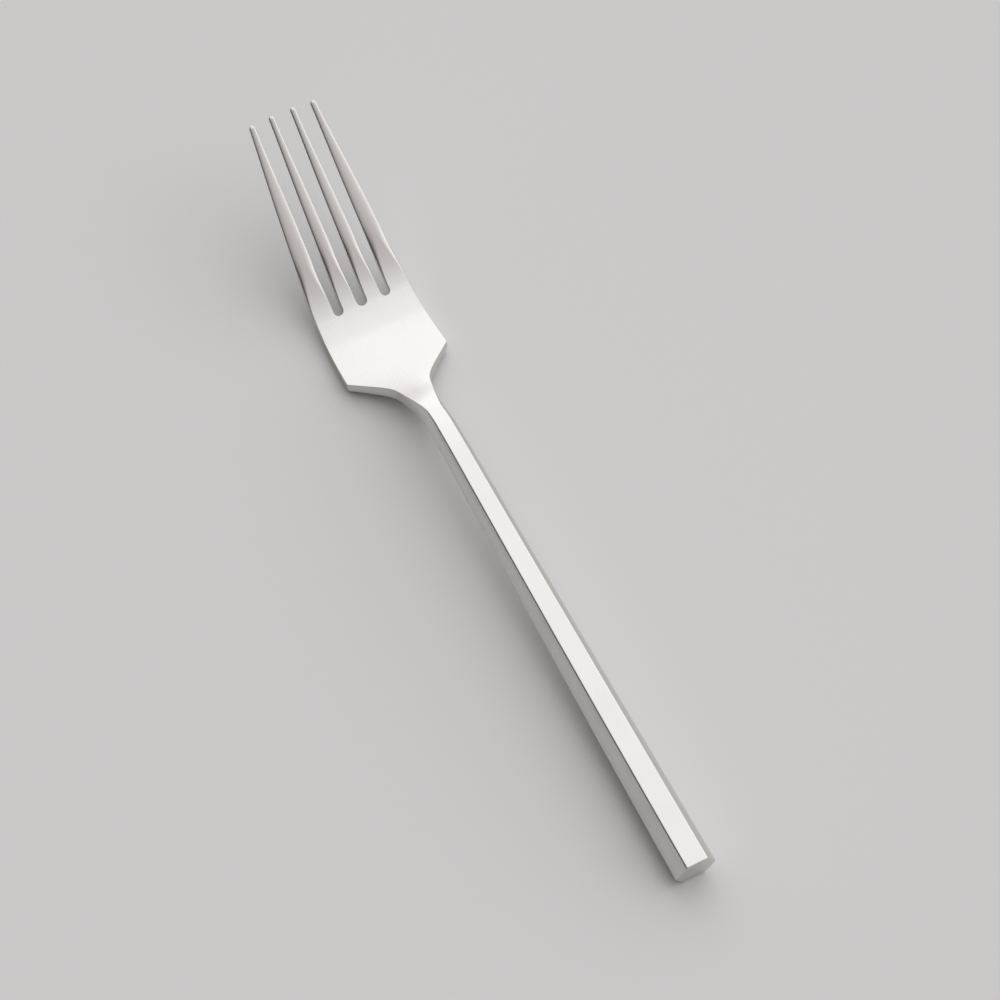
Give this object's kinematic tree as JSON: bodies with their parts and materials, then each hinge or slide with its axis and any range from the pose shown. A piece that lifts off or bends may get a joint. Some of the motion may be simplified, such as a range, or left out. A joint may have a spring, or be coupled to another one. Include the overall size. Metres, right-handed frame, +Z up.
{
  "type": "dinner fork",
  "caption": "Dinner fork with a tapered six-sided hollow handle, a slim neck, angular shoulders and straight tines, in satin steel.",
  "frame": {"origin": "middle of the fork's outline on the surface it lies on", "axes": "+Y along the fork towards the tips, +Z up from the table, +X to the right seen from the handle's end"},
  "size_m": [0.026, 0.2, 0.0292],
  "materials": {
    "head_steel": "satin",
    "handle_steel": "satin",
    "core_filler": "matt, hidden inside the handle"
  },
  "bodies": {
    "root": {"head": "head_steel", "handle_upper_shell": "handle_steel", "handle_lower_shell": "handle_steel", "handle_core": "core_filler", "end_cap": "handle_steel"}
  },
  "joints": []
}
